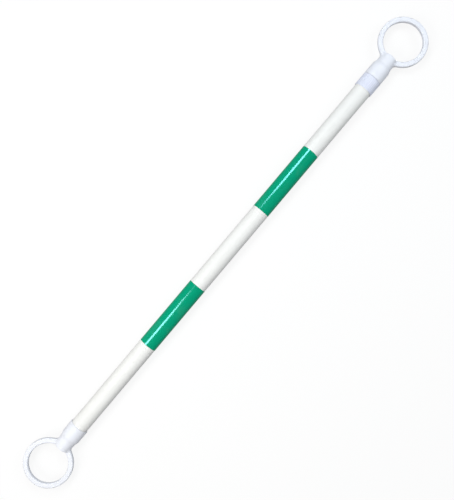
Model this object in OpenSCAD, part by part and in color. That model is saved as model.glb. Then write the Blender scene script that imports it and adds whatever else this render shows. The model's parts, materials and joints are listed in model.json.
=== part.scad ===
// Telescopic bar that spans two road cones. A thin tube slides in a thick one,
// a screw collar locks the length, and a ring at each end slips over the top of a cone.
// The bar lies along X with its rings flat and the sliding end at +X.
// The origin is on the ground under its middle.

/* [Bar] */
// Overall length over both rings, pushed in
closed_length = 1200; // [1180:10:1600]
// Outer tube left behind the guide, pushed in: the less it is, the further the bar pulls out
tail_room = 56.3; // [40:0.1:400]

/* [Tubes] */
// Outside diameter of the outer tube
outer_tube_d = 36.4; // [30:0.2:48]
// Wall of the outer tube
outer_tube_wall = 1.4; // [1:0.1:2]
// Room all round between the two tubes
tube_gap = 2.3; // [2:0.1:3.2]
// Wall of the inner tube
inner_tube_wall = 1.2; // [0.8:0.1:2]

/* [Green bands] */
// Middle of the white between the bands, from the middle of the bar
bands_at = 10.8; // [-60:0.2:60]
// Length of each band
band_length = 154; // [40:0.5:200]
// White tube between the bands
band_gap = 195.6; // [20:0.2:260]
// Thickness of the film
film = 0.2; // [0.1:0.05:0.5]

/* [Ring caps] */
// Hole in each ring
ring_bore_d = 80; // [60:1:110]
// Width of the ring's band, seen from above
ring_width = 10.5; // [7:0.5:14]
// Height of the ring's band
ring_depth = 11; // [8:0.5:16]
// Rounding of the ring's edges
ring_edge_r = 3; // [1:0.25:3.25]
// Rounding where the ring runs into the neck
ring_root_r = 5.5; // [2:0.5:8]
// Wall of the cap round the outer tube, at the rim
cap_wall = 1.75; // [1.2:0.05:3]
// How much the cap narrows from its rim to its shoulder, in radius
cap_draft = 0.3; // [0:0.05:0.6]
// Depth of the socket on the outer tube
socket_depth = 26; // [18:1:34]
// Length of the sloping shoulder
shoulder_length = 7; // [3:0.5:12]
// Drop of the shoulder, in radius
shoulder_drop = 2.1; // [1:0.1:2.6]
// Length of the neck, from the shoulder to its flat end
neck_length = 21.5; // [18:0.5:36]
// How much the neck narrows, in radius
neck_taper = 1.6; // [0.4:0.1:2]
// Flat end of the neck to the hole in the ring
neck_setback = 1; // [1:0.5:6]
// Solid plastic between the inner tube's end and the ring
socket_end = 8; // [4:0.5:10]
// Ribs in the hollow round the inner tube's socket
rib_count = 6; // [4:1:8]
// Thickness of those ribs
rib_t = 1.6; // [1:0.1:2.4]

/* [Lock collar] */
// Wall of the collar outside its thread
collar_wall = 1.8; // [1.4:0.1:3]
// End wall of the collar
collar_end = 3.5; // [2.5:0.1:5]
// How far the collar reaches over the outer tube
collar_cover = 3; // [2.5:0.1:8]
// Grip flutes round the collar
flute_count = 30; // [12:1:36]
// Depth of a flute
flute_depth = 0.35; // [0.2:0.05:0.5]
// Pitch of the collar's thread
pitch = 3; // [2.4:0.1:4]
// Depth of the thread
thread_depth = 0.85; // [0.6:0.05:1]
// Turn that locks the collar, in degrees
lock_turn = 180; // [90:10:240]

/* [Bush and clamp] */
// Length of the bush inside the outer tube
spigot_length = 36; // [20:1:60]
// Flange of the bush on the outer tube's end
flange_t = 2; // [1.5:0.1:3]
// Length of the threaded part of the bush
thread_length = 14; // [12:0.5:20]
// Length of the tapered mouth that the clamp ring enters
mouth_length = 9; // [7:0.5:11]
// Wall left at the end of the mouth
mouth_wall = 0.55; // [0.45:0.05:0.8]
// Back flange of the clamp ring
clamp_flange_t = 4; // [2:0.5:6]
// Slit in the clamp ring
clamp_slit = 2; // [1:0.1:4]

/* [Guide] */
// Length of the guide bush
guide_length = 14; // [8:1:24]
// Diameter of the journal that it turns on
journal_d = 20; // [12:0.5:24]
// Length of the plug inside the inner tube
plug_length = 22; // [14:1:40]
// Shoulder of the plug against the inner tube's end
plug_shoulder = 2; // [1:0.5:4]
// Wall of the plug
plug_wall = 3; // [2:0.5:5]
// Diameter of the washer that keeps the guide
washer_d = 25; // [22:0.5:28]
// Thickness of that washer
washer_t = 1.2; // [0.8:0.1:2]

/* [Screws] */
// Diameter of a cap screw
cap_screw_d = 3; // [2.5:0.1:4]
// Diameter of its countersunk head
cap_screw_head_d = 6; // [5:0.1:7]
// Side of the bar that the cap screws are on, from straight down towards -Y, in degrees
cap_screw_angle = 45; // [0:5:60]
// Diameter of the guide screw
guide_screw_d = 4; // [3:0.1:6]
// Length of the guide screw under its head
guide_screw_length = 13; // [8:0.5:15]

/* [Fits] */
// Bond line between glued or pressed pieces
glue = 0.05; // [0.02:0.01:0.1]
// Running fit of the guide, in radius
running = 0.1; // [0.05:0.01:0.15]
// Room of the inner tube in the bush and the collar, in radius
sliding = 0.25; // [0.15:0.05:0.4]
// Room of the thread and of the collar's skirt, in radius
thread_room = 0.25; // [0.2:0.05:0.4]
// Room left round the inner tube in the slack clamp ring, in radius
clamp_room = 0.06; // [0.04:0.01:0.15]
// End play of pieces that turn or move
end_play = 0.2; // [0.1:0.05:0.4]
// Gap between the collar and the upper cap, pushed in
collar_gap = 0.4; // [0.2:0.1:2]

/* [Hidden] */
$fn = 96;

// Small amounts: the overshoot of a cut, the rounding of moulded edges, and the play that keeps stops apart
cut = 1;
edge_r = 0.8;
stop_play = 0.3;
arc_steps = 6;

// Radii of the two tubes
outer_r = outer_tube_d / 2;
bore_r = outer_r - outer_tube_wall;
inner_r = bore_r - tube_gap;
inner_bore_r = inner_r - inner_tube_wall;

// The ring cap, measured along its axis from the rim: shoulder, neck, flat end, hole and ring centre
socket_r = outer_r + glue;
cap_r = socket_r + cap_wall;
body_length = socket_depth + edge_r;
neck_start = body_length + shoulder_length;
neck_end = neck_start + neck_length;
ring_r = ring_bore_d / 2;
ring_at = neck_end + neck_setback + ring_r;
ring_back = ring_at - ring_r - ring_width;
neck_r = cap_r - cap_draft - shoulder_drop;
neck_end_r = neck_r - neck_taper;
core_end = ring_back - 2 * edge_r;
core_step = 3;
core_r = bore_r - core_step;
core_end_r = core_r - neck_taper;
upper_socket_r = inner_r + glue;
upper_socket_depth = ring_back - socket_end;
hub_wall = (socket_r - upper_socket_r) / 2;
screw_boss = cap_screw_head_d + 2 * edge_r;

// Along the bar
axis_z = cap_r;
ring_x = closed_length / 2 - ring_r - ring_width;
rim_x = ring_x - ring_at;
tube_start = -rim_x - socket_depth;
second_band_x = bands_at + band_gap / 2;
first_band_x = bands_at - band_gap / 2 - band_length;

// The thread, the bush's mouth and the clamp ring
lock_travel = pitch * lock_turn / 360;
crest_drop = 0.45;
male_crest_r = outer_r - crest_drop;
male_root_r = male_crest_r - thread_depth;
female_root_r = male_crest_r + thread_room;
female_crest_r = male_root_r + thread_room;
skirt_r = outer_r + thread_room;
collar_r = female_root_r + collar_wall;
bush_bore_r = inner_r + sliding;
mouth_r = male_root_r - mouth_wall;
mouth_step = 0.6;
tip_room = 1.5;
seat_r = bush_bore_r + mouth_step;
mouth_slope = (mouth_r - seat_r) / mouth_length;
slack = glue + mouth_slope * lock_travel;
clamp_bore_r = inner_r + clamp_room;

// Stations of the lock along X, back from the upper cap's rim
collar_front = rim_x - collar_gap;
chamber_x = collar_front - collar_end;
clamp_back = chamber_x - end_play / 2;
clamp_step = clamp_back - clamp_flange_t;
mouth_x = clamp_step - lock_travel - stop_play;
neck_x = mouth_x - thread_length;
tube_end = neck_x - flange_t;
seat_x = mouth_x - mouth_length;
clamp_tip = seat_x + lock_travel + tip_room;
collar_back = tube_end - collar_cover;
skirt_end = neck_x + lock_travel + end_play;
spigot_x = tube_end - spigot_length;

// Thread ridge: its width at the root and the crest as shares of the pitch,
// how deep it is rooted in its wall, the facets of a turn, and the two starting points
root_share = 0.55;
crest_share = 0.27;
ridge_root = root_share * pitch;
ridge_crest = crest_share * pitch;
male_rooting = mouth_wall / 2;
female_rooting = collar_wall / 3;
turn_facets = 24;
male_start = neck_x + ridge_root;
male_turns = (mouth_x - male_start - ridge_root) / pitch;
female_start = male_start + pitch / 2;
female_turns = (mouth_x - female_start - ridge_root) / pitch;

// Stations of the guide along X, from the outer tube's lower end, and how far the bar then pulls out
guide_back = tube_start + tail_room;
guide_front = guide_back + guide_length;
extension = spigot_x - guide_front - stop_play;
shoulder_back = guide_front + end_play;
inner_start = shoulder_back + plug_shoulder;
journal_end = guide_back - end_play;
washer_back = journal_end - washer_t;
inner_end = rim_x + upper_socket_depth;
journal_r = journal_d / 2;
guide_bore_r = journal_r + running;
plug_r = inner_bore_r - glue;

// Grip flutes, cut as shallow segments of a small circle
flute_r = 1.75;
flute_margin = collar_cover;

// Screws
cap_screw_r = cap_screw_d / 2;
cap_screw_head_r = cap_screw_head_d / 2;
cap_screw_x = socket_depth / 2;
cap_screw_sink = 0.35;
cap_screw_reach = 2.5;
guide_screw_r = guide_screw_d / 2;
guide_screw_head_r = guide_screw_d;
guide_screw_head = 0.6 * guide_screw_d;
drive_w = 0.25;

white = [0.96, 0.96, 0.95];
green = [0.02, 0.6, 0.45];
lavender = [0.88, 0.9, 0.98];
pale_lavender = [0.92, 0.94, 1];
cream = [0.9, 0.89, 0.84];
steel = [0.72, 0.73, 0.75];

// Points on a quarter or other arc of the circle round a centre
function arc(centre, r, from, to) =
    [for (i = [0 : arc_steps]) let (a = from + (to - from) * i / arc_steps) centre + r * [cos(a), sin(a)]];

// Stands a shape that was drawn round Z on the bar's axis, with Z turned to +X
module along_bar(x) {
    translate([x, 0, axis_z])
        rotate([0, 90, 0])
            children();
}

// Turns a cap to the lower end of the bar or leaves it at the upper end
module at_end(upper) {
    translate([0, 0, axis_z])
        rotate([0, 0, upper ? 0 : 180])
            translate([rim_x, 0, 0])
                children();
}

// A pipe round the bar's axis
module pipe(from, to, outside, inside) {
    along_bar(from)
        difference() {
            cylinder(r = outside, h = to - from);
            translate([0, 0, -cut])
                cylinder(r = inside, h = to - from + 2 * cut);
        }
}

// One thread ridge, as a closed sweep of a four-cornered section along a right-hand helix round Z
module thread_ridge(root, crest, turns) {
    steps = ceil(turns * turn_facets);
    foot = ridge_root / 2;
    top = ridge_crest / 2;
    section = [[root, -foot], [crest, -top], [crest, top], [root, foot]];
    outward = crest > root;
    corners = len(section);
    points = [
        for (i = [0 : steps], p = section)
            let (a = 360 * i / turn_facets)
                [p[0] * cos(a), p[0] * sin(a), p[1] + pitch * i / turn_facets]
    ];
    sides = [
        for (i = [0 : steps - 1], j = [0 : corners - 1])
            let (k = (j + 1) % corners, near = i * corners, far = near + corners)
                each [[near + j, far + j, near + k], [near + k, far + j, far + k]]
    ];
    last = steps * corners;
    caps = [[0, 1, 2], [0, 2, 3], [last + 2, last + 1, last], [last + 3, last + 2, last]];
    faces = [for (f = concat(sides, caps)) outward ? [f[2], f[1], f[0]] : f];
    polyhedron(points, faces);
}

// Outside of a ring cap: rim, drafted body, shoulder, tapered neck and flat end, as half an outline
function cap_outline() = concat(
    [[0, 0]],
    arc([cap_r - edge_r, edge_r], edge_r, -90, 0),
    [[cap_r - cap_draft, body_length], [neck_r, neck_start]],
    arc([neck_end_r - edge_r, neck_end - edge_r], edge_r, 0, 90),
    [[0, neck_end]]
);

// Section of the ring, with rounded edges and a straight wall round the hole
function ring_section() =
    let (
        inner = ring_r + ring_edge_r,
        outer = ring_r + ring_width - ring_edge_r,
        side = ring_depth / 2 - ring_edge_r
    )
        concat(
            arc([inner, side], ring_edge_r, 180, 90),
            arc([outer, side], ring_edge_r, 90, 0),
            arc([outer, -side], ring_edge_r, 0, -90),
            arc([inner, -side], ring_edge_r, -90, -180)
        );

// Rounded web between the ring and one side of the neck
module ring_root() {
    ring_out_r = ring_r + ring_width;
    side = neck_end_r;
    fillet_y = side + ring_root_r;
    fillet_x = ring_at - sqrt(pow(ring_out_r + ring_root_r, 2) - pow(fillet_y, 2));
    share = ring_out_r / (ring_out_r + ring_root_r);
    touch = [ring_at - (ring_at - fillet_x) * share, fillet_y * share];
    height = ring_depth - 2 * ring_edge_r;
    translate([0, 0, -height / 2])
        linear_extrude(height)
            difference() {
                polygon([
                    [fillet_x, side - edge_r],
                    [fillet_x, side + edge_r],
                    touch,
                    touch + [ring_edge_r, -edge_r],
                    [neck_end - edge_r, side - edge_r]
                ]);
                translate([fillet_x, fillet_y])
                    circle(r = ring_root_r);
            }
}

// Solid outside of a ring cap, with its rim at the origin and its ring towards +X
module cap_solid() {
    rotate([0, 90, 0])
        rotate_extrude()
            polygon(cap_outline());
    translate([ring_at, 0, 0])
        rotate_extrude()
            polygon(ring_section());
    ring_root();
    mirror([0, 1, 0])
        ring_root();
}

// Stands a shape drawn round Z on a cap screw's axis, pointing out of the cap
module at_cap_screw(upper) {
    at_end(upper)
        translate([cap_screw_x, 0, 0])
            rotate([180 - (upper ? cap_screw_angle : -cap_screw_angle), 0, 0])
                children();
}

// Hole for a cap screw, from the outside in, with its countersink
module cap_screw_hole(upper) {
    top = cap_r - cap_draft / 2 - cap_screw_sink;
    at_cap_screw(upper) {
        cylinder(r = cap_screw_r + glue, h = cap_r);
        translate([0, 0, top - cap_screw_head_r])
            cylinder(r1 = 0, r2 = cap_screw_head_r + glue, h = cap_screw_head_r + glue);
        translate([0, 0, top + glue])
            cylinder(r = cap_screw_head_r + glue, h = cap_r);
    }
}

// Countersunk self-tapping screw with a cross recess, from its head down to its point
module cap_screw(upper, inside) {
    top = cap_r - cap_draft / 2 - cap_screw_sink;
    tip = inside - cap_screw_reach;
    at_cap_screw(upper)
        difference() {
            rotate_extrude()
                polygon([
                    [0, tip],
                    [cap_screw_r, tip + cap_screw_d],
                    [cap_screw_r, top - cap_screw_head_r + cap_screw_r],
                    [cap_screw_head_r, top],
                    [0, top]
                ]);
            cross_recess(top, cap_screw_head_r);
        }
}

// Cross recess in a screw head that faces +Z
module cross_recess(top, head) {
    for (a = [0, 90])
        rotate([0, 0, a])
            translate([0, 0, top])
                cube([head, head * drive_w, head * 2 * drive_w], center = true);
}

module outer_tube() {
    color(white)
        difference() {
            pipe(tube_start, tube_end, outer_r, bore_r);
            cap_screw_hole(false);
        }
}

module green_band(from) {
    color(green)
        pipe(from, from + band_length, outer_r + glue + film, outer_r + glue);
}

module lower_ring_cap() {
    color(pale_lavender)
        difference() {
            at_end(false)
                difference() {
                    cap_solid();
                    rotate([0, 90, 0]) {
                        translate([0, 0, -cut])
                            cylinder(r = socket_r, h = socket_depth + cut);
                        cylinder(r1 = core_r, r2 = core_end_r, h = core_end);
                    }
                }
            cap_screw_hole(false);
        }
}

module upper_ring_cap() {
    color(pale_lavender)
        difference() {
            at_end(true)
                difference() {
                    cap_solid();
                    rotate([0, 90, 0])
                        translate([0, 0, -cut])
                            cylinder(r = upper_socket_r, h = upper_socket_depth + cut);
                    socket_hollow();
                }
            cap_screw_hole(true);
        }
}

// Ring-shaped hollow in the upper cap, which keeps its walls thin, with ribs left standing across it
module socket_hollow() {
    hub_r = upper_socket_r + hub_wall;
    difference() {
        rotate([0, 90, 0])
            translate([0, 0, -cut])
                difference() {
                    cylinder(r = socket_r, h = socket_depth + cut);
                    translate([0, 0, -cut])
                        cylinder(r = hub_r, h = socket_depth + 3 * cut);
                }
        for (i = [0 : rib_count - 1])
            rotate([180 - cap_screw_angle + i * 360 / rib_count, 0, 0])
                translate([0, -(i == 0 ? screw_boss : rib_t) / 2, 0])
                    cube([socket_depth + cut, i == 0 ? screw_boss : rib_t, cap_r]);
    }
}

module lower_cap_screw() {
    color(steel)
        cap_screw(false, bore_r);
}

module upper_cap_screw() {
    color(steel)
        cap_screw(true, inner_bore_r);
}

module threaded_bush() {
    spigot_r = bore_r - glue;
    color(cream)
        along_bar(0)
            union() {
                rotate_extrude()
                    polygon([
                        [bush_bore_r, spigot_x],
                        [spigot_r, spigot_x],
                        [spigot_r, tube_end],
                        [outer_r, tube_end],
                        [outer_r, neck_x],
                        [male_root_r, neck_x],
                        [male_root_r, mouth_x],
                        [mouth_r, mouth_x],
                        [seat_r, seat_x],
                        [bush_bore_r, seat_x]
                    ]);
                translate([0, 0, male_start])
                    thread_ridge(male_root_r - male_rooting, male_crest_r, male_turns);
            }
}

module clamp_ring() {
    tip_r = seat_r + mouth_slope * (clamp_tip - seat_x) - slack;
    step_r = seat_r + mouth_slope * (clamp_step - seat_x) - slack;
    color(cream)
        along_bar(0)
            difference() {
                rotate_extrude()
                    polygon([
                        [clamp_bore_r, clamp_tip],
                        [tip_r, clamp_tip],
                        [step_r, clamp_step],
                        [male_root_r, clamp_step],
                        [male_root_r, clamp_back],
                        [clamp_bore_r, clamp_back]
                    ]);
                translate([0, -clamp_slit / 2, clamp_tip - cut])
                    cube([outer_r, clamp_slit, clamp_back - clamp_tip + 2 * cut]);
            }
}

module lock_collar() {
    length = collar_front - collar_back;
    color(lavender)
        along_bar(collar_back)
            union() {
                difference() {
                    rotate_extrude()
                        polygon(concat(
                            [[inner_r + sliding, length]],
                            [[inner_r + sliding, chamber_x - collar_back]],
                            [[female_root_r, chamber_x - collar_back]],
                            [[female_root_r, skirt_end - collar_back]],
                            [[skirt_r, skirt_end - collar_back]],
                            [[skirt_r, 0]],
                            arc([collar_r - edge_r, edge_r], edge_r, -90, 0),
                            arc([collar_r - edge_r, length - edge_r], edge_r, 0, 90)
                        ));
                    for (i = [0 : flute_count - 1])
                        rotate([0, 0, i * 360 / flute_count])
                            translate([collar_r + flute_r - flute_depth, 0, flute_margin])
                                cylinder(r = flute_r, h = length - 2 * flute_margin, $fn = 24);
                }
                translate([0, 0, female_start - collar_back])
                    thread_ridge(female_root_r + female_rooting, female_crest_r, female_turns);
            }
}

module guide_bush() {
    color(cream)
        pipe(guide_back, guide_front, bore_r - running, guide_bore_r);
}

module inner_tube() {
    color(white)
        difference() {
            pipe(inner_start, inner_end, inner_r, inner_bore_r);
            cap_screw_hole(true);
        }
}

module inner_plug() {
    color(cream)
        along_bar(0)
            difference() {
                rotate_extrude()
                    polygon([
                        [0, journal_end],
                        [journal_r, journal_end],
                        [journal_r, shoulder_back],
                        [inner_r, shoulder_back],
                        [inner_r, inner_start],
                        [plug_r, inner_start],
                        [plug_r, inner_start + plug_length],
                        [plug_r - plug_wall, inner_start + plug_length],
                        [plug_r - plug_wall, inner_start],
                        [0, inner_start]
                    ]);
                translate([0, 0, journal_end - cut])
                    cylinder(r = guide_screw_r + glue, h = inner_start - journal_end + 2 * cut);
            }
}

module guide_washer() {
    color(steel)
        pipe(washer_back, journal_end, washer_d / 2, guide_screw_r + glue);
}

module guide_screw() {
    color(steel)
        along_bar(washer_back)
            difference() {
                rotate_extrude()
                    polygon(concat(
                        [[0, -guide_screw_head]],
                        arc([guide_screw_head_r - edge_r, edge_r - guide_screw_head], edge_r, -90, 0),
                        [[guide_screw_head_r, 0], [guide_screw_r, 0]],
                        [[guide_screw_r, guide_screw_length - guide_screw_r], [0, guide_screw_length]]
                    ));
                cross_recess(-guide_screw_head, guide_screw_head_r);
            }
}

outer_tube();
green_band(first_band_x);  // lower_green_band
green_band(second_band_x);  // upper_green_band
lower_ring_cap();
lower_cap_screw();
threaded_bush();
clamp_ring();
lock_collar();
guide_bush();
inner_tube();
inner_plug();
guide_washer();
guide_screw();
upper_ring_cap();
upper_cap_screw();
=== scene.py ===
# %% [markdown]
# # A telescopic bar for road cones
# Two flat rings drop over the tops of two cones, and the bar between them closes the way. A thick tube with
# two green bands holds a thin tube that pulls out, and a fluted collar locks the length. The frame brings
# every solid at its real size and place. This lesson gives the ones that show a finer surface and a finish of
# their own, in metres and in the same place, so the joints of the frame still carry everything.

# %% Load the frame
import json
import math

import bpy
import numpy as np
from mathutils import Matrix, Vector


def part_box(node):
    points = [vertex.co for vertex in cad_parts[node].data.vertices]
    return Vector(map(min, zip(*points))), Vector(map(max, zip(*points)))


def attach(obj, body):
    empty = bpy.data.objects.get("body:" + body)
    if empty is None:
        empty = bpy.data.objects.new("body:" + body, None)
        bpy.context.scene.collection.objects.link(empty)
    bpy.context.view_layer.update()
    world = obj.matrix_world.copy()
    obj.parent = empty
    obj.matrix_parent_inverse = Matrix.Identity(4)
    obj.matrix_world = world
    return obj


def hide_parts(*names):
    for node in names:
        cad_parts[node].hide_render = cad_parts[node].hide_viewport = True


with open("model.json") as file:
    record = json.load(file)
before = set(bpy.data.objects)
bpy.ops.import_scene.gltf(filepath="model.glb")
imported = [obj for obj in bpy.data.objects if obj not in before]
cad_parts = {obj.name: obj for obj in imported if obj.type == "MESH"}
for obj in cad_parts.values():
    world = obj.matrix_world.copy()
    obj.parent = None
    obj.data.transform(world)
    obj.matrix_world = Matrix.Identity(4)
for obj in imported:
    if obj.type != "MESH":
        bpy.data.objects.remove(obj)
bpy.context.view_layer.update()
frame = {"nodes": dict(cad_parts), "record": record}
record = frame["record"]
scene = bpy.context.scene

# %% [markdown]
# ## Sizes
# A piece fits its neighbours only if both read the same numbers. The bar's axis and its rings are mounts in
# the record, and a node's box tells where it starts, where it ends and how thick it is. Walls and small
# roundings don't show in a box, so they are named beside the piece that needs them.

# %% Read the sizes that everything else follows
MM = 0.001
mounts = {mount["name"]: mount for mount in record["mounts"]}
RING_X, _, AXIS_Z = mounts["upper_ring"]["pos_m"]
RING_R = mounts["upper_ring"]["dims"]["r_mm"] * MM


def span(node):
    """Where a node starts and ends along the bar."""
    low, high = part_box(node)
    return low.x, high.x


def radius(node):
    """Outside radius of a node round the bar's axis, from its lowest point."""
    return AXIS_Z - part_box(node)[0].z


print("axis", AXIS_Z, "m high; rings at", RING_X, "m; outer tube", round(radius("outer_tube"), 5), "m")

# %% [markdown]
# ## Camera
# The bar was photographed from straight above, lying slantwise across the picture. The two rings look
# slightly turned outwards, which is the perspective of a camera a little over a metre away. Matching that
# distance first means that every later difference is a difference of the object and not of the view.

# %% Place the camera
LONG_SIDE_PX = 500
FOCAL_PX = 662
SENSOR = 36
BAR_SLANT = math.radians(49.86)
EYE = Vector((5.6 * MM, 1.3 * MM, AXIS_Z + 1323.4 * MM))

camera = bpy.data.objects.new("camera", bpy.data.cameras.new("camera"))
scene.collection.objects.link(camera)
camera.data.sensor_width = SENSOR
camera.data.lens = FOCAL_PX / LONG_SIDE_PX * SENSOR
camera.location = EYE
camera.rotation_euler = (0, 0, -BAR_SLANT)
scene.camera = camera
print("camera: lens", round(camera.data.lens, 2), "mm,", round(EYE.z, 3), "m up")

# %% [markdown]
# ## Nodes without tears
# A material is a tree of nodes. Writing each node on one line, with its inputs as a small dictionary, keeps
# the trees readable: a socket in the dictionary is linked, and any other value is typed in.

# %% Helpers for node trees
def put(tree, kind, inputs=None, **settings):
    """Adds a node, sets its options, and links or sets its inputs."""
    node = tree.nodes.new("ShaderNode" + kind)
    for key, value in settings.items():
        setattr(node, key, value)
    for key, value in (inputs or {}).items():
        if isinstance(value, bpy.types.NodeSocket):
            tree.links.new(value, node.inputs[key])
        else:
            node.inputs[key].default_value = value
    return node


def reckon(tree, operation, first, second=0.0):
    """One sum on two values."""
    return put(tree, "Math", {0: first, 1: second}, operation=operation).outputs[0]


def fit(tree, value, from_low, from_high, to_low, to_high):
    """Stretches a value from one range to another and stops at the ends."""
    ranges = {1: from_low, 2: from_high, 3: to_low, 4: to_high}
    return put(tree, "MapRange", {0: value, **ranges}, interpolation_type="SMOOTHSTEP").outputs[0]


def blend_colours(tree, mask, first, second):
    """First colour where the mask is 0, second where it is 1."""
    return put(tree, "Mix", {0: mask, 6: first, 7: second}, data_type="RGBA").outputs[2]


def fresh_material(name):
    """An empty material: its tree and its output node."""
    material = bpy.data.materials.new(name)
    material.use_nodes = True
    material.node_tree.nodes.clear()
    return material, material.node_tree, put(material.node_tree, "OutputMaterial")


def rays_that_see(tree):
    """1 for rays that show the background: from the camera, mirrored, or through something clear."""
    light_path = put(tree, "LightPath").outputs
    mirrored = reckon(tree, "MAXIMUM", light_path["Is Glossy Ray"], light_path["Is Transmission Ray"])
    return reckon(tree, "MAXIMUM", light_path["Is Camera Ray"], mirrored)


print("helpers ready")

# %% [markdown]
# ## Floor and surroundings
# The bar lies on plain white paper. A floor that glows a little for the rays that look at it stays white in
# the picture and still takes a soft shadow, while the light that it throws back at the bar stays low, so that
# the right side of the tube keeps its dark edge. Round the floor stands a room with white walls under a dim
# ceiling, and the ceiling is what keeps the green film deep between its highlights.

# %% Build the floor
FLOOR_HALF = 40.0
FLOOR_SEEN, FLOOR_THROWN = (0.95, 0.95, 0.95, 1), (0.22, 0.22, 0.22, 1)
FLOOR_GLOW = 0.86

floor_mesh = bpy.data.meshes.new("paper_floor")
corners = [(x * FLOOR_HALF, y * FLOOR_HALF, 0) for x, y in ((-1, -1), (1, -1), (1, 1), (-1, 1))]
floor_mesh.from_pydata(corners, [], [(0, 1, 2, 3)])
floor = bpy.data.objects.new("paper_floor", floor_mesh)
scene.collection.objects.link(floor)

paper, tree, output = fresh_material("white_paper")
seen = rays_that_see(tree)
matt = put(tree, "BsdfDiffuse", {"Color": blend_colours(tree, seen, FLOOR_THROWN, FLOOR_SEEN)})
glow = put(tree, "Emission", {"Color": (1, 1, 1, 1), "Strength": 1.0})
share = reckon(tree, "MULTIPLY", seen, FLOOR_GLOW)
mixed = put(tree, "MixShader", {0: share, 1: matt.outputs[0], 2: glow.outputs[0]})
tree.links.new(mixed.outputs[0], output.inputs["Surface"])
floor_mesh.materials.append(paper)
print("floor", 2 * FLOOR_HALF, "m wide")

# %% Build the world
AMBIENT = 0.29
WALLS, CEILING = 1.0, 0.02
WALL_TOP, CEILING_START = 0.06, 0.45

world = bpy.data.worlds.new("white_room")
scene.world = world
world.use_nodes = True
tree = world.node_tree
tree.nodes.clear()
height = put(tree, "SeparateXYZ", {0: put(tree, "TexCoord").outputs["Generated"]}).outputs["Z"]
room = fit(tree, height, WALL_TOP, CEILING_START, WALLS, CEILING)
strength = put(tree, "Mix", {0: rays_that_see(tree), 2: AMBIENT, 3: room}).outputs[0]
light = put(tree, "Background", {"Color": (1, 1, 1, 1), "Strength": strength})
tree.links.new(light.outputs[0], put(tree, "OutputWorld").inputs["Surface"])
print("world ambient", AMBIENT)

# %% [markdown]
# ## Lamps
# The green film shows a thin bright streak left of its middle, strong towards both ends of the bar and faint
# in the centre. A cylinder turns a lamp into such a line, and the line's place tells the lamp's direction:
# about 25 degrees off straight down, and a little more towards the ends of the bar. So two lamps hang there,
# one for each half, with their outer ends swung away and a gap between them, over which the streak fades. A
# wide soft panel past each end of the bar fills in the rest, and the light over the upper half is a little
# cooler.

# %% Hang the lamps
LOWER_SIDE, UPPER_SIDE = math.radians(25), math.radians(29)
LAMP_SWING = math.radians(22)
WARM, COOL, MILD = (1.0, 0.98, 0.935), (0.88, 0.95, 1.0), (1.0, 0.985, 0.96)


def hang_lamp(name, place, size, radiance, colour, target, long_way=(1, 0, 0)):
    """A rectangular lamp that faces a target. Radiance 1 is as bright as white paper in full light."""
    data = bpy.data.lights.new(name, "AREA")
    data.shape = "RECTANGLE"
    data.size, data.size_y = size
    data.energy = radiance * math.pi * size[0] * size[1]
    data.color = colour
    lamp = bpy.data.objects.new(name, data)
    scene.collection.objects.link(lamp)
    lamp.location = place
    back = (Vector(place) - Vector(target)).normalized()
    side = (Vector(long_way) - back * back.dot(Vector(long_way))).normalized()
    lamp.rotation_mode = "QUATERNION"
    lamp.rotation_quaternion = Matrix((side, back.cross(side), back)).transposed().to_quaternion()
    lamp.visible_camera = False
    print(name, "at", [round(v, 2) for v in place])


def hang_strip(name, x, side, far, size, radiance, colour):
    """A lamp over one side of the bar, at a distance from its axis, with its outer end swung away from it."""
    place = (x, far * math.sin(side), AXIS_Z + far * math.cos(side))
    outwards = (math.copysign(math.cos(LAMP_SWING), x), math.sin(LAMP_SWING), 0)
    hang_lamp(name, place, size, radiance, colour, (x, 0, AXIS_Z), outwards)


hang_strip("lower_strip", -0.37, LOWER_SIDE, 0.95, (0.27, 0.33), 11.6, WARM)
hang_strip("upper_strip", 0.465, UPPER_SIDE, 1.25, (0.37, 0.43), 12.2, COOL)
hang_lamp("lower_panel", (-1.7, 0.4, 1.8), (1.4, 1.4), 2.85, MILD, (-0.3, 0, AXIS_Z))
hang_lamp("upper_panel", (1.7, -0.9, 1.9), (1.4, 1.4), 3.15, COOL, (0.3, 0, AXIS_Z))

# %% [markdown]
# ## Turned pieces
# Tubes and the collar are turned shapes: one closed section goes once round the bar's axis. Blender's own
# cylinder has razor edges, which no cut tube or moulding has, so a section here names its corners and rounds
# each of them.

# %% Helpers for turned pieces
def smooth_step(value):
    """0 below 0, 1 above 1, and an S between them."""
    value = np.clip(value, 0, 1)
    return value * value * (3 - 2 * value)


def eased(corners, steps=4):
    """Closed section from corners (x, r, ease), each rounded off over its ease."""
    section = []
    for i, (x, r, ease) in enumerate(corners):
        here = np.array((x, r))
        before = np.array(corners[i - 1][:2]) - here
        after = np.array(corners[(i + 1) % len(corners)][:2]) - here
        start = here + before / np.linalg.norm(before) * ease
        end = here + after / np.linalg.norm(after) * ease
        for t in np.linspace(0, 1, steps + 1):
            section.append((1 - t) ** 2 * start + 2 * t * (1 - t) * here + t * t * end)
    return np.array(section)


def grid_faces(rows, columns, closed_round=True):
    """Quads over a grid that closes on itself along its rows, and round its columns too if asked."""
    i, j = np.meshgrid(np.arange(rows), np.arange(columns if closed_round else columns - 1), indexing="ij")
    next_i, next_j = (i + 1) % rows, (j + 1) % columns
    corners = [i * columns + j, next_i * columns + j, next_i * columns + next_j, i * columns + next_j]
    return np.stack(corners, -1).reshape(-1, 4)


def round_axis(x, r, angle):
    """Points at a radius and an angle round the bar's axis. Angle 0 is up, and a quarter turn is +Y."""
    x, r, angle = np.broadcast_arrays(x, r, angle)
    return np.stack([x, r * np.sin(angle), AXIS_Z + r * np.cos(angle)], -1).reshape(-1, 3)


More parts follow.
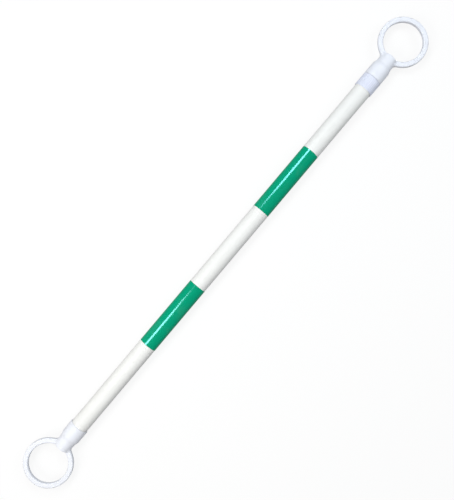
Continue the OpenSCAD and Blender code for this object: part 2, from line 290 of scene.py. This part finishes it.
def add_piece(name, points, faces, node, body):
    """Makes a mesh that stands for a node and moves with its body."""
    mesh = bpy.data.meshes.new(name)
    mesh.from_pydata(np.asarray(points).tolist(), [], [list(map(int, face)) for face in faces])
    mesh.shade_smooth()
    piece = bpy.data.objects.new(name, mesh)
    scene.collection.objects.link(piece)
    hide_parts(node)
    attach(piece, body)
    print(name, "has", len(mesh.polygons), "faces")
    return piece


def even_shading(piece):
    """Lets large faces set the normals, so that narrow roundings don't bend the light on flat faces."""
    piece.modifiers.new("even shading", "WEIGHTED_NORMAL").weight = 100


print("helpers for turned pieces ready")

# %% [markdown]
# ## Tubes
# Both tubes are white plastic pipe, cut to length and lightly broken at the edges. A section of four corners
# makes each one, with its bore, so the pieces that come out of it and the wall at its end are real.

# %% Make the two tubes
TUBE_SIDES = 128
TUBE_EASE = 0.35 * MM
OUTER_WALL = 1.4 * MM
INNER_WALL = 1.2 * MM


def make_tube(name, node, body, wall):
    """A pipe with a broken edge at each end."""
    start, end = span(node)
    outside = radius(node)
    inside = outside - wall
    corners = [(start, outside), (end, outside), (end, inside), (start, inside)]
    section = eased([(x, r, TUBE_EASE) for x, r in corners], steps=3)
    angles = np.linspace(0, 2 * math.pi, TUBE_SIDES, endpoint=False)
    points = round_axis(section[:, :1], section[:, 1:], angles)
    piece = add_piece(name, points, grid_faces(len(section), TUBE_SIDES), node, body)
    even_shading(piece)
    return piece


outer_pipe = make_tube("outer_pipe", "outer_tube", "outer", OUTER_WALL)
inner_pipe = make_tube("inner_pipe", "inner_tube", "inner", INNER_WALL)

# %% [markdown]
# ## Green bands
# Each band is a strip of coloured film, wrapped once round the tube, with its end stuck down over its start
# on the underside. A closed sleeve would have no end, so the strip is swept a little more than one turn and
# lifts over itself at the lap.

# %% Wrap the two bands
FILM = 0.2 * MM
FILM_EASE = 0.07 * MM
LAP = math.radians(26)
LAP_RISE = math.radians(14)
LAP_AT = math.radians(212)
LAP_GAP = 0.02 * MM
FILM_STEPS = 180


def wrap_band(name, node):
    """A strip of film with a lapped end."""
    start, end = span(node)
    outside = radius(node)
    inside = outside - FILM
    corners = [(start, outside), (end, outside), (end, inside), (start, inside)]
    section = eased([(x, r, FILM_EASE) for x, r in corners], steps=2)
    run = np.linspace(0, 2 * math.pi + LAP, FILM_STEPS)
    lift = (FILM + LAP_GAP) * smooth_step((run - 2 * math.pi + LAP_RISE) / LAP_RISE)
    points = round_axis(section[:, :1], section[:, 1:] + lift, LAP_AT + run)
    rows = len(section)
    faces = grid_faces(rows, FILM_STEPS, closed_round=False).tolist()
    first_end = [i * FILM_STEPS for i in range(rows)]
    last_end = [i * FILM_STEPS + FILM_STEPS - 1 for i in reversed(range(rows))]
    piece = add_piece(name, points, faces + [first_end, last_end], node, "outer")
    even_shading(piece)
    return piece


lower_film = wrap_band("lower_film", "lower_green_band")
upper_film = wrap_band("upper_film", "upper_green_band")

# %% [markdown]
# ## Lock collar
# The collar is turned by hand, so it has thirty shallow grip flutes that run out before its rounded ends.
# Inside, one thread ridge pulls it along the bush. Cutting thirty grooves with booleans would leave ragged
# edges. Here the section is swept as before, and the radius of each point is changed by its angle: a rounded
# dip for a flute on the outside, a raised helix for the thread on the inside.

# %% Shape the flutes and the thread
FLUTES = 30
FLUTE_DEPTH = 0.38 * MM
FLUTE_HALF = 1.35 * MM
FLUTE_MARGIN = 2.2 * MM
FLUTE_RUN_OUT = 2.0 * MM
PITCH = 3.0 * MM
THREAD_DEPTH = 0.85 * MM
THREAD_START = 8.15 * MM
THREAD_TURNS = 3.07
THREAD_RUN_IN = 1 / 8
ROOT_HALF, CREST_HALF = 0.275, 0.135

collar_back, collar_front = span("lock_collar")
collar_r = radius("lock_collar")


def flute_cut(x, angle):
    """How deep the flutes are at a place on the collar's outside."""
    step = 2 * math.pi / FLUTES
    across = (angle + step / 2) % step - step / 2
    dip = 0.5 + 0.5 * np.cos(math.pi * np.clip(across * collar_r / FLUTE_HALF, -1, 1))
    to_end = np.minimum(x - collar_back, collar_front - x) - FLUTE_MARGIN
    return FLUTE_DEPTH * dip * smooth_step(to_end / FLUTE_RUN_OUT)


def thread_rise(x, angle):
    """How far the thread stands in from its root at a place on the collar's inside."""
    turned = ((math.pi - angle) / (2 * math.pi)) % 1
    along = (x - collar_back - THREAD_START) / PITCH
    turn = np.round(along - turned)
    ridge = np.clip((ROOT_HALF - np.abs(along - turned - turn)) / (ROOT_HALF - CREST_HALF), 0, 1)
    done = turn + turned
    run_in, run_out = done / THREAD_RUN_IN, (THREAD_TURNS - done) / THREAD_RUN_IN
    return THREAD_DEPTH * ridge * smooth_step(run_in) * smooth_step(run_out)


print("collar:", round(collar_front - collar_back, 5), "m long,", round(collar_r, 5), "m in radius")

# %% Make the collar
COLLAR_SIDES = 360
COLLAR_EASE = 0.6 * MM
COLLAR_BORE = 14.75 * MM
COLLAR_END = 3.5 * MM
MOUTH_LEAD = 0.5 * MM
THREAD_ROOT = 18.0 * MM
SKIRT_R = 18.45 * MM
SKIRT_LENGTH = 6.7 * MM
SKIRT_LEAD = 0.4 * MM
SAME = 0.01 * MM
GRIP_ROWS, CHAMBER_ROWS = 40, 56

back_edge, front_edge, *_ = eased([
    (collar_back, collar_r, COLLAR_EASE), (collar_front, collar_r, COLLAR_EASE),
    (collar_front, SKIRT_R, SAME), (collar_back, SKIRT_R, SAME)], steps=5).reshape(4, -1, 2)
grip = np.linspace(collar_back + COLLAR_EASE, collar_front - COLLAR_EASE, GRIP_ROWS)[1:-1]
chamber = np.linspace(collar_front - COLLAR_END, collar_back + SKIRT_LENGTH, CHAMBER_ROWS)
sections = [
    back_edge,
    np.stack([grip, np.full_like(grip, collar_r)], -1),
    front_edge,
    [(collar_front, COLLAR_BORE + MOUTH_LEAD), (collar_front - MOUTH_LEAD, COLLAR_BORE)],
    [(collar_front - COLLAR_END, COLLAR_BORE)],
    np.stack([chamber, np.full_like(chamber, THREAD_ROOT)], -1),
    [(collar_back + SKIRT_LENGTH, SKIRT_R)],
    [(collar_back + SKIRT_LEAD, SKIRT_R), (collar_back, SKIRT_R + SKIRT_LEAD)],
]
section = np.concatenate(sections)
angles = np.linspace(0, 2 * math.pi, COLLAR_SIDES, endpoint=False)
x, r = section[:, :1], section[:, 1:]
r = r - np.where(r > collar_r - SAME, flute_cut(x, angles), 0)
r = r - np.where(np.abs(section[:, 1:] - THREAD_ROOT) < SAME, thread_rise(x, angles), 0)
grip_collar = add_piece("grip_collar", round_axis(x, r, angles), grid_faces(len(section), COLLAR_SIDES),
                        "lock_collar", "collar")
even_shading(grip_collar)

# %% [markdown]
# ## Ring caps
# Each cap is one moulding: a socket for the tube, a sloping shoulder, a tapered neck and a flat ring, which
# flows out of the neck in a soft root. Joining a turned stem to a ring with a boolean leaves a hard line
# where the real moulding has a fillet. So the cap is first described as a field, a number that is negative
# inside the plastic and positive outside it. Two fields blend into each other with one formula, and a hollow
# is cut by turning its sign.

# %% Describe the outside of a cap
CAP_R = radius("upper_ring_cap")
RIM_X = span("upper_ring_cap")[0]
RING_AT = RING_X - RIM_X
RING_WIDTH = span("upper_ring_cap")[1] - RING_X - RING_R
RING_DEPTH = 11 * MM
RING_EDGE = 3 * MM
ROOT_REACH, ROOT_LEAST = 7.0 * MM, 0.04
RIM_REACH = 0.7 * MM
SOCKET_DEPTH = 26 * MM
BODY_LENGTH, SHOULDER, NECK = 26.8 * MM, 7 * MM, 21.5 * MM
DRAFT, SHOULDER_DROP, NECK_TAPER = 0.3 * MM, 2.1 * MM, 1.6 * MM
SHOULDER_EASE = 1.0 * MM, 2.0 * MM
NECK_END = BODY_LENGTH + SHOULDER + NECK
CROWN, CROWN_HALF = 1.0 * MM, 15 * MM


def soft_min(first, second, reach):
    """The lower of two fields, rounded over a reach where they are close."""
    share = np.clip(0.5 + 0.5 * (second - first) / reach, 0, 1)
    return second + (first - second) * share - reach * share * (1 - share)


def soft_max(first, second, reach):
    """The higher of two fields, rounded in the same way."""
    return -soft_min(-first, -second, reach)


def ring_field(rho, w):
    """A flat ring with rounded edges, by distance from its centre and height."""
    across = np.abs(rho - RING_R - RING_WIDTH / 2) - RING_WIDTH / 2 + RING_EDGE
    above = np.abs(w) - RING_DEPTH / 2 + RING_EDGE
    corner = np.hypot(np.maximum(across, 0), np.maximum(above, 0))
    return corner + np.minimum(np.maximum(across, above), 0) - RING_EDGE


def stem_field(u, v, w):
    """Rim, drafted body, shoulder and neck with a slightly crowned end."""
    r = np.hypot(v, w)
    wall = CAP_R - DRAFT * np.clip(u / BODY_LENGTH, 0, 1)
    fall = (u - BODY_LENGTH + SHOULDER_EASE[0]) / (SHOULDER + sum(SHOULDER_EASE))
    wall = wall - SHOULDER_DROP * smooth_step(fall)
    wall = wall - NECK_TAPER * np.clip((u - BODY_LENGTH - SHOULDER) / NECK, 0, 1)
    end = NECK_END + CROWN * np.clip(1 - (v / CROWN_HALF) ** 2, 0, 1)
    return soft_max(r - wall, np.maximum(-u, u - end), RIM_REACH)


def outside_field(u, v, w):
    """Stem and ring in one, with a root that dies away towards the hole."""
    rho = np.hypot(u - RING_AT, v)
    reach = ROOT_REACH * np.clip((rho - RING_R) / RING_WIDTH, ROOT_LEAST, 1)
    return soft_min(stem_field(u, v, w), ring_field(rho, w), reach)


print("cap: rim at", round(RIM_X, 4), "m, ring", round(RING_AT, 4), "m further on")

# %% [markdown]
# ## Hollows of the caps
# The lower cap takes the thick tube and is cored out beyond it. The upper cap takes the thin tube in a hub,
# with a ring-shaped hollow round the hub that keeps the walls even, and six ribs across it. Both have a
# countersunk hole for the screw that pins the tube. These show when the bar is pulled out and seen from the
# end, so they are cut too.

# %% Describe the hollows
FIT = 0.05 * MM
LOWER_SOCKET = radius("outer_tube") + FIT
UPPER_SOCKET = radius("inner_tube") + FIT
UPPER_DEPTH = span("inner_tube")[1] - RIM_X
CORE_R, CORE_TAPER, CORE_FLOOR = 13.8 * MM, 1.6 * MM, 1.6 * MM
CORE_END = RING_AT - RING_R - RING_WIDTH - CORE_FLOOR
HUB_R = (LOWER_SOCKET + UPPER_SOCKET) / 2
RIBS, RIB, SCREW_BOSS = 6, 1.6 * MM, 7.6 * MM
SCREW_AT = SOCKET_DEPTH / 2
SCREW_DOWN = math.radians(45)
SCREW_R, SCREW_HEAD_R, SCREW_TOP = 1.55 * MM, 3.05 * MM, 19.5 * MM
HOLLOW_REACH = 0.35 * MM
DEEP_INSIDE = -1.0


def lower_hollow(u, v, w):
    """Socket for the thick tube and the core behind it."""
    r = np.hypot(v, w)
    socket = np.maximum(r - LOWER_SOCKET, u - SOCKET_DEPTH)
    core = np.maximum(r - CORE_R + CORE_TAPER * u / CORE_END, u - CORE_END)
    return np.minimum(socket, core)


def upper_hollow(u, v, w):
    """Socket for the thin tube and the ribbed hollow round its hub."""
    r = np.hypot(v, w)
    socket = np.maximum(r - UPPER_SOCKET, u - UPPER_DEPTH)
    hollow = np.maximum(np.maximum(HUB_R - r, r - LOWER_SOCKET), u - SOCKET_DEPTH)
    for i in range(RIBS):
        turn = math.pi + SCREW_DOWN + i * 2 * math.pi / RIBS
        ahead = v * math.sin(turn) + w * math.cos(turn)
        aside = np.abs(v * math.cos(turn) - w * math.sin(turn))
        half = (RIB if i else SCREW_BOSS) / 2
        hollow = np.maximum(hollow, np.where(ahead > 0, half - aside, DEEP_INSIDE))
    return np.minimum(socket, hollow)


def screw_seat(u, v, w):
    """Countersunk hole, 45 degrees up from the underside."""
    turn = math.pi + SCREW_DOWN
    out = v * math.sin(turn) + w * math.cos(turn)
    aside = np.hypot(u - SCREW_AT, v * math.cos(turn) - w * math.sin(turn))
    wide = np.clip(out - SCREW_TOP + SCREW_HEAD_R, SCREW_R, SCREW_HEAD_R)
    return np.maximum(aside - wide, -out)


def cap_field(hollow):
    """Field of a whole cap with one of the two hollows."""
    def field(u, v, w):
        solid = outside_field(u, v, w)
        for cut in (hollow, screw_seat):
            solid = soft_max(solid, -cut(u, v, w), HOLLOW_REACH)
        return solid
    return field


print("hollows:", round(LOWER_SOCKET, 5), "and", round(UPPER_SOCKET, 5), "m in radius")

# %% [markdown]
# ## From field to mesh
# A surface net turns a field into quads. The field is sampled on a grid, each cell that the surface crosses
# gets one point, and each grid edge that the surface cuts gets one quad between the four cells round it.
# Where a wall is thinner than a cell, its two sides can meet in one edge, and such an edge is drawn together
# to a point. The points are then pulled onto the surface along the field's slope, and that slope is also the
# exact normal, so a grid of three quarters of a millimetre gives a smooth moulding.

# %% Net a field
def surface_net(values):
    """Points, in cells, and quads of the surface where the values change sign."""
    cells = np.array(values.shape) - 1
    total, count, quads = np.zeros((cells.prod(), 3)), np.zeros(cells.prod()), []
    for axis in range(3):
        low = np.moveaxis(np.moveaxis(values, axis, 0)[:-1], 0, axis)
        high = np.moveaxis(np.moveaxis(values, axis, 0)[1:], 0, axis)
        edges = np.argwhere((low < 0) != (high < 0))
        at_low, at_high = low[tuple(edges.T)], high[tuple(edges.T)]
        unit = np.eye(3, dtype=int)
        crossing = edges + (at_low / (at_low - at_high))[:, None] * unit[axis]
        second, third = unit[(axis + 1) % 3], unit[(axis + 2) % 3]
        around = [edges, edges - second, edges - second - third, edges - third]
        ids = [np.ravel_multi_index(tuple(cell.T), tuple(cells)) for cell in around]
        for cell in ids:
            np.add.at(total, cell, crossing)
            np.add.at(count, cell, 1)
        quad = np.stack(ids, -1)
        quads.append(np.where((at_low < 0)[:, None], quad, quad[:, ::-1]))
    used = np.flatnonzero(count)
    renumber = np.zeros(len(count), int)
    renumber[used] = np.arange(len(used))
    return total[used] / count[used, None], renumber[np.concatenate(quads)]


def without_pinches(points, quads):
    """The net with each edge that more than two faces share drawn together to one of its ends."""
    sides = np.sort(np.concatenate([quads[:, [i, (i + 1) % 4]] for i in range(4)]), axis=1)
    edges, shares = np.unique(sides, axis=0, return_counts=True)
    joined = np.arange(len(points))
    for kept, dropped in edges[shares > 2]:
        joined[joined == joined[dropped]] = joined[kept]
    used, corners = np.unique(joined[quads], return_inverse=True)
    faces = [tuple(dict.fromkeys(quad)) for quad in corners.reshape(-1, 4).tolist()]
    return points[used], [face for face in faces if len(face) > 2]


print("surface net ready")

# %% Mould the caps
CELL = 0.75 * MM
MARGIN = 1.6 * MM
PULLS = 4
PROBE = 0.02 * MM
LEAST_RISE = 0.2


def slope(field, points):
    """Which way, and how steeply, the field rises at each point."""
    rises = []
    for step in np.eye(3) * PROBE:
        rises.append(field(*(points + step).T) - field(*(points - step).T))
    return np.stack(rises, -1) / (2 * PROBE)


def mould_cap(name, node, body, hollow, end):
    """A cap at one end of the bar: -1 for the lower end, 1 for the upper."""
    field = cap_field(hollow)
    reach = RING_R + RING_WIDTH + MARGIN
    low = np.array((-MARGIN, -reach, -CAP_R - MARGIN))
    high = np.array((RING_AT + reach, reach, CAP_R + MARGIN))
    lines = [np.arange(a, b + CELL, CELL) for a, b in zip(low, high)]
    points, faces = without_pinches(*surface_net(field(*np.meshgrid(*lines, indexing="ij"))))
    points = low + points * CELL
    for _ in range(PULLS):
        rise = slope(field, points)
        steps = field(*points.T) / np.maximum((rise**2).sum(1), LEAST_RISE)
        points = points - rise * steps[:, None]
    normals = slope(field, points)
    normals = normals / np.linalg.norm(normals, axis=1, keepdims=True)
    turned = np.array((end, 1, 1))
    placed = points * turned + np.array((end * RIM_X, 0, AXIS_Z))
    piece = add_piece(name, placed, [face[::end] for face in faces], node, body)
    piece.data.normals_split_custom_set_from_vertices((normals * turned).tolist())
    return piece


lower_moulding = mould_cap("lower_moulding", "lower_ring_cap", "outer", lower_hollow, -1)
upper_moulding = mould_cap("upper_moulding", "upper_ring_cap", "inner", upper_hollow, 1)

# %% [markdown]
# ## Effects that several finishes share
# Pipe, film and wire all pass through a die or over rollers, which leaves fine lines along the bar. Mouldings
# take the fine grain of their steel mould. And everything that people carry collects hairline scuffs and a
# little dust. Each effect is a node group, built once, with inputs for its size and strength.

# %% Helpers for effects
def new_group(name, inputs, outputs):
    """A node group: its tree, its input sockets and its output sockets."""
    group = bpy.data.node_groups.new(name, "ShaderNodeTree")
    for socket, kind, value in inputs:
        made = group.interface.new_socket(name=socket, in_out="INPUT", socket_type="NodeSocket" + kind)
        if kind == "Float":
            made.default_value = value
    for socket, kind in outputs:
        group.interface.new_socket(name=socket, in_out="OUTPUT", socket_type="NodeSocket" + kind)
    return group, group.nodes.new("NodeGroupInput").outputs, group.nodes.new("NodeGroupOutput").inputs


def noise(tree, place, scale, detail=2.0, rough=0.5):
    """Cloudy noise from 0 to 1."""
    inputs = {"Vector": place, "Scale": scale, "Detail": detail, "Roughness": rough}
    return put(tree, "TexNoise", inputs).outputs[0]


def stretched(tree, place, along, across):
    """A place scaled by one amount along the bar and another across it."""
    return put(tree, "Mapping", {0: place, 3: (along, across, across)}).outputs[0]


print("helpers for effects ready")

# %% Drawn lines and mould grain
RELIEF = [("Height", "Float"), ("Tone", "Float")]

drawn_lines, given, result = new_group(
    "drawn lines", [("Place", "Vector", None), ("Fineness", "Float", 1.0)], RELIEF)
fine = put(drawn_lines, "VectorMath", {0: given["Place"], 3: given["Fineness"]}, operation="SCALE").outputs[0]
lines = noise(drawn_lines, stretched(drawn_lines, fine, 6.0, 900.0), 1.0, 3.0, 0.6)
drift = noise(drawn_lines, stretched(drawn_lines, fine, 3.0, 60.0), 1.0, 2.0)
drawn_lines.links.new(lines, result["Height"])
drawn_lines.links.new(reckon(drawn_lines, "ADD", reckon(drawn_lines, "MULTIPLY", lines, 0.35),
                             reckon(drawn_lines, "MULTIPLY", drift, 0.65)), result["Tone"])

mould_grain, given, result = new_group(
    "mould grain", [("Place", "Vector", None), ("Scale", "Float", 1800.0)], RELIEF)
mould_grain.links.new(noise(mould_grain, given["Place"], given["Scale"], 2.0, 0.55), result["Height"])
mould_grain.links.new(noise(mould_grain, given["Place"], 55.0, 3.0), result["Tone"])
print("groups:", drawn_lines.name, "and", mould_grain.name)

# %% Scuffs and dust
hairline_scuffs, given, result = new_group(
    "hairline scuffs", [("Place", "Vector", None), ("Amount", "Float", 0.5)], [("Mask", "Float")])
bent = put(hairline_scuffs, "VectorMath", {
    0: put(hairline_scuffs, "TexNoise", {"Vector": given["Place"], "Scale": 9.0}).outputs["Color"],
    1: (0.006, 0.006, 0.006)}, operation="MULTIPLY").outputs[0]
place = put(hairline_scuffs, "VectorMath", {0: given["Place"], 1: bent}, operation="ADD").outputs[0]
scratch = noise(hairline_scuffs, stretched(hairline_scuffs, place, 55.0, 1100.0), 1.0, 1.0)
patch = noise(hairline_scuffs, given["Place"], 26.0, 2.0)
thin = fit(hairline_scuffs, scratch, 0.66, 0.74, 0.0, 1.0)
where = fit(hairline_scuffs, patch, 0.52, 0.68, 0.0, 1.0)
mask = reckon(hairline_scuffs, "MULTIPLY", reckon(hairline_scuffs, "MULTIPLY", thin, where), given["Amount"])
hairline_scuffs.links.new(mask, result["Mask"])

road_dust, given, result = new_group(
    "road dust", [("Place", "Vector", None), ("Amount", "Float", 0.5)], [("Mask", "Float")])
cloud = noise(road_dust, given["Place"], 38.0, 5.0, 0.65)
speck = fit(road_dust, noise(road_dust, given["Place"], 900.0, 1.0), 0.70, 0.78, 0.0, 0.6)
veil = fit(road_dust, cloud, 0.50, 0.78, 0.0, 1.0)
both = reckon(road_dust, "MAXIMUM", veil, speck)
road_dust.links.new(reckon(road_dust, "MULTIPLY", both, given["Amount"]), result["Mask"])
print("groups:", hairline_scuffs.name, "and", road_dust.name)


# %% Place an effect in a material
def effect(tree, group, place, **values):
    """Places a shared effect in a material."""
    node = tree.nodes.new("ShaderNodeGroup")
    node.node_tree = group
    tree.links.new(place, node.inputs["Place"])
    for key, value in values.items():
        node.inputs[key].default_value = value
    return node.outputs


def bump(tree, height, distance, strength=1.0, normal=None):
    """A normal that follows a height, in metres."""
    inputs = {"Height": height, "Distance": distance, "Strength": strength}
    if normal:
        inputs["Normal"] = normal
    return put(tree, "Bump", inputs).outputs[0]


def finish_material(tree, output, constants, linked):
    """Ends a material in one Principled shader, with its plain values typed in and the rest linked."""
    shader = put(tree, "BsdfPrincipled", {**constants, **linked})
    tree.links.new(shader.outputs[0], output.inputs["Surface"])


print("effects ready:", [group.name for group in bpy.data.node_groups])

# %% [markdown]
# ## Finishes
# The pipe is satin white plastic with the die's fine lines. Caps and collar are moulded in a slightly blue
# white, the collar a shade deeper, with a fine matt grain. A clean bar has only a trace of scuffs and dust,
# so both stay faint.

# %% White pipe
WHITE, WHITE_WORN = (0.885, 0.885, 0.868, 1), (0.80, 0.795, 0.77, 1)
DUST = (0.46, 0.43, 0.38, 1)

pipe_white, tree, output = fresh_material("pipe_white")
place = put(tree, "TexCoord").outputs["Object"]
lines = effect(tree, drawn_lines, place)
scuffs = effect(tree, hairline_scuffs, place, Amount=0.5)["Mask"]
dust = effect(tree, road_dust, place, Amount=0.05)["Mask"]
colour = blend_colours(tree, fit(tree, lines["Tone"], 0.3, 0.75, 0.0, 0.28), WHITE, WHITE_WORN)
colour = blend_colours(tree, reckon(tree, "MULTIPLY", scuffs, 0.35), colour, WHITE_WORN)
colour = blend_colours(tree, dust, colour, DUST)
rough = fit(tree, lines["Tone"], 0.3, 0.7, 0.30, 0.40)
rough = reckon(tree, "ADD", rough, reckon(tree, "MULTIPLY", scuffs, 0.2))
normal = bump(tree, scuffs, -0.02 * MM, normal=bump(tree, lines["Height"], 0.012 * MM))
finish_material(tree, output, {"IOR": 1.46, "Specular IOR Level": 0.15},
                {"Base Color": colour, "Roughness": rough, "Normal": normal})
for piece in (outer_pipe, inner_pipe):
    piece.data.materials.append(pipe_white)
print(pipe_white.name, "done")

# %% [markdown]
# ## Film
# The film is smooth and deep green, and its gloss is tinted by the green that the light has crossed. The
# gloss is kept for the part that faces the eye, where the lamps draw their streak, so the sides of a band
# stay deep.

# %% Green film
GREEN, GREEN_DEEP = (0.002, 0.36, 0.194, 1), (0.0015, 0.33, 0.175, 1)
FILM_GLOSS = (0.33, 0.85, 1.0, 1)

film_green, tree, output = fresh_material("film_green")
place = put(tree, "TexCoord").outputs["Object"]
lines = effect(tree, drawn_lines, place, Fineness=0.5)
scuffs = effect(tree, hairline_scuffs, place, Amount=0.3)["Mask"]
dust = effect(tree, road_dust, place, Amount=0.03)["Mask"]
colour = blend_colours(tree, fit(tree, lines["Tone"], 0.3, 0.7, 0.0, 0.6), GREEN, GREEN_DEEP)
colour = blend_colours(tree, dust, colour, DUST)
rough = fit(tree, lines["Tone"], 0.3, 0.7, 0.14, 0.16)
rough = reckon(tree, "ADD", rough, reckon(tree, "MULTIPLY", scuffs, 0.2))
normal = bump(tree, noise(tree, place, 60.0), 0.004 * MM, normal=bump(tree, lines["Height"], 0.0004 * MM))
away = put(tree, "LayerWeight", {"Blend": 0.5}).outputs["Facing"]
gloss = fit(tree, away, 0.05, 0.22, 1.0, 0.03)
finish_material(tree, output, {"IOR": 1.55, "Specular Tint": FILM_GLOSS},
                {"Base Color": colour, "Roughness": rough, "Normal": normal, "Specular IOR Level": gloss})
for piece in (lower_film, upper_film):
    piece.data.materials.append(film_green)
print(film_green.name, "done")

# %% [markdown]
# ## Moulded plastics and steel
# Caps, collar and bushes differ only in colour and in the fineness of their grain, so one function makes all
# three finishes. The screws and the washer are drawn steel wire and sheet.

# %% Moulded plastics
def moulded_plastic(name, colour, worn, grain, roughness):
    """Plain moulded plastic with the grain of its mould, faint mottling, scuffs and dust."""
    material, tree, output = fresh_material(name)
    place = put(tree, "TexCoord").outputs["Object"]
    skin = effect(tree, mould_grain, place, Scale=grain)
    scuffs = effect(tree, hairline_scuffs, place, Amount=0.5)["Mask"]
    dust = effect(tree, road_dust, place, Amount=0.05)["Mask"]
    base = blend_colours(tree, fit(tree, skin["Tone"], 0.3, 0.7, 0.0, 0.15), colour, worn)
    base = blend_colours(tree, reckon(tree, "MULTIPLY", scuffs, 0.4), base, worn)
    base = blend_colours(tree, dust, base, DUST)
    rough = fit(tree, skin["Tone"], 0.25, 0.75, roughness - 0.05, roughness + 0.05)
    normal = bump(tree, scuffs, -0.02 * MM, normal=bump(tree, skin["Height"], 0.02 * MM, 0.6))
    finish_material(tree, output, {"IOR": 1.46, "Specular IOR Level": 0.4},
                    {"Base Color": base, "Roughness": rough, "Normal": normal})
    print(name, "done")
    return material


cap_white = moulded_plastic("cap_white", (0.86, 0.88, 0.95, 1), (0.81, 0.825, 0.89, 1), 1500.0, 0.44)
collar_lavender = moulded_plastic(
    "collar_lavender", (0.77, 0.80, 0.93, 1), (0.71, 0.735, 0.86, 1), 1300.0, 0.46)
bush_cream = moulded_plastic("bush_cream", (0.76, 0.74, 0.67, 1), (0.66, 0.63, 0.55, 1), 1600.0, 0.5)
for piece in (lower_moulding, upper_moulding):
    piece.data.materials.append(cap_white)
grip_collar.data.materials.append(collar_lavender)

# %% Steel of the screws
STEEL, STEEL_DARK = (0.62, 0.63, 0.65, 1), (0.40, 0.40, 0.41, 1)

screw_steel, tree, output = fresh_material("screw_steel")
place = put(tree, "TexCoord").outputs["Object"]
lines = effect(tree, drawn_lines, place, Fineness=4.0)
dust = effect(tree, road_dust, place, Amount=0.15)["Mask"]
colour = blend_colours(tree, lines["Tone"], STEEL, STEEL_DARK)
colour = blend_colours(tree, dust, colour, DUST)
rough = fit(tree, lines["Tone"], 0.3, 0.7, 0.28, 0.42)
normal = bump(tree, lines["Height"], 0.006 * MM)
finish_material(tree, output, {"Metallic": 1.0}, {"Base Color": colour, "Roughness": rough, "Normal": normal})
print(screw_steel.name, "done")

# %% [markdown]
# ## Pieces that keep their CAD shape
# Bushes, plug, washer and screws sit inside the bar or are very small, and their CAD shape is right as it is.
# They only get a finish in place of the plain colour that came with the frame.

# %% Dress the remaining nodes
dressed = {
    bush_cream: ("threaded_bush", "clamp_ring", "guide_bush", "inner_plug"),
    screw_steel: ("lower_cap_screw", "upper_cap_screw", "guide_washer", "guide_screw"),
}
for material, names in dressed.items():
    for name in names:
        for material_slot in frame["nodes"][name].material_slots:
            material_slot.material = material
print("dressed", sum(len(names) for names in dressed.values()), "nodes")

# %% [markdown]
# ## View transform
# The dressed bar has to stay in the box of its solids. The picture is shown with the Standard view transform.

# %% Set the view transform
scene.view_settings.view_transform = "Standard"
